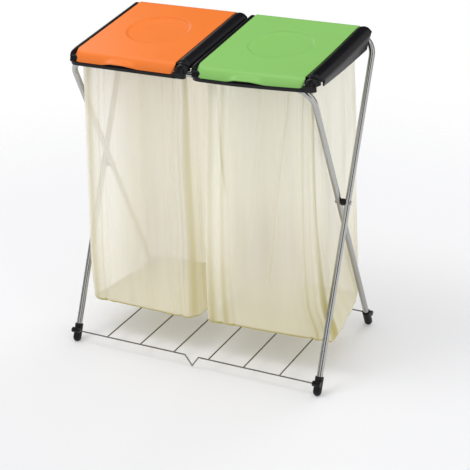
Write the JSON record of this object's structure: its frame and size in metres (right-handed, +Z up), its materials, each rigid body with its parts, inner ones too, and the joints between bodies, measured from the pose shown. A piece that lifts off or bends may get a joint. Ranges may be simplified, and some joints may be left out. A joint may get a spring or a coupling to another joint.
{
  "type": "waste bin",
  "caption": "Folding stand for two waste bags: crossed tube frames on feet, a wire shelf, two black rims and two hinged lids, orange and green, with a film bag hanging from each rim.",
  "frame": {"origin": "on the floor under the middle of the stand, midway between the front and the back feet", "axes": "+X to the right seen from the front, +Y to the back, +Z up"},
  "size_m": [0.6186, 0.3548, 0.7175],
  "materials": {
    "tube": "satin",
    "black_plastic": "satin",
    "rivet": "satin",
    "wire": "satin",
    "orange_plastic": "satin",
    "green_plastic": "satin",
    "film": "translucent"
  },
  "bodies": {
    "outer_frame": {"outer_tube": "tube", "foot_front_left": "black_plastic", "foot_front_right": "black_plastic", "pivot_spacer_left": "black_plastic", "pivot_spacer_right": "black_plastic", "pivot_rivet_left": "rivet", "pivot_rivet_right": "rivet", "bag_left": "film", "bag_right": "film"},
    "inner_frame": {"inner_tube": "tube", "foot_back_left": "black_plastic", "foot_back_right": "black_plastic"},
    "shelf": {"shelf_front_wire": "wire", "shelf_back_wire": "wire", "shelf_cross_wire_1": "wire", "shelf_cross_wire_2": "wire", "shelf_cross_wire_3": "wire", "shelf_cross_wire_4": "wire", "shelf_cross_wire_5": "wire", "shelf_cross_wire_6": "wire"},
    "left_rim": {"rim_left": "black_plastic"},
    "right_rim": {"rim_right": "black_plastic"},
    "left_lid": {"lid_left": "orange_plastic"},
    "right_lid": {"lid_right": "green_plastic"}
  },
  "joints": [
    {"name": "fold", "type": "hinge", "parent": "outer_frame", "child": "inner_frame", "pos_m": [0, 0, 0.377], "axis": [-1, 0, 0], "range_deg": [0, 48], "deforming": ["bag_left", "bag_right"]},
    {"name": "shelf_swing", "type": "hinge", "parent": "inner_frame", "child": "shelf", "pos_m": [0, 0.17022, 0.028], "axis": [-1, 0, 0], "range_deg": [0, 61]},
    {"name": "rim_left_tilt", "type": "hinge", "parent": "outer_frame", "child": "left_rim", "pos_m": [-0.14, 0.14645, 0.698], "axis": [-1, 0, 0], "range_deg": [0, 118]},
    {"name": "rim_right_tilt", "type": "hinge", "parent": "outer_frame", "child": "right_rim", "pos_m": [0.15, 0.14645, 0.698], "axis": [-1, 0, 0], "range_deg": [0, 118]},
    {"name": "lid_left_hinge", "type": "hinge", "parent": "left_rim", "child": "left_lid", "pos_m": [-0.14, 0.14645, 0.698], "axis": [-1, 0, 0], "range_deg": [0, 100]},
    {"name": "lid_right_hinge", "type": "hinge", "parent": "right_rim", "child": "right_lid", "pos_m": [0.15, 0.14645, 0.698], "axis": [-1, 0, 0], "range_deg": [0, 100]}
  ],
  "couplings": [
    {"joint": "shelf_swing", "follows": "fold", "ratio": 1.2703},
    {"joint": "rim_left_tilt", "follows": "fold", "ratio": 2.4578},
    {"joint": "rim_right_tilt", "follows": "fold", "ratio": 2.4578}
  ]
}
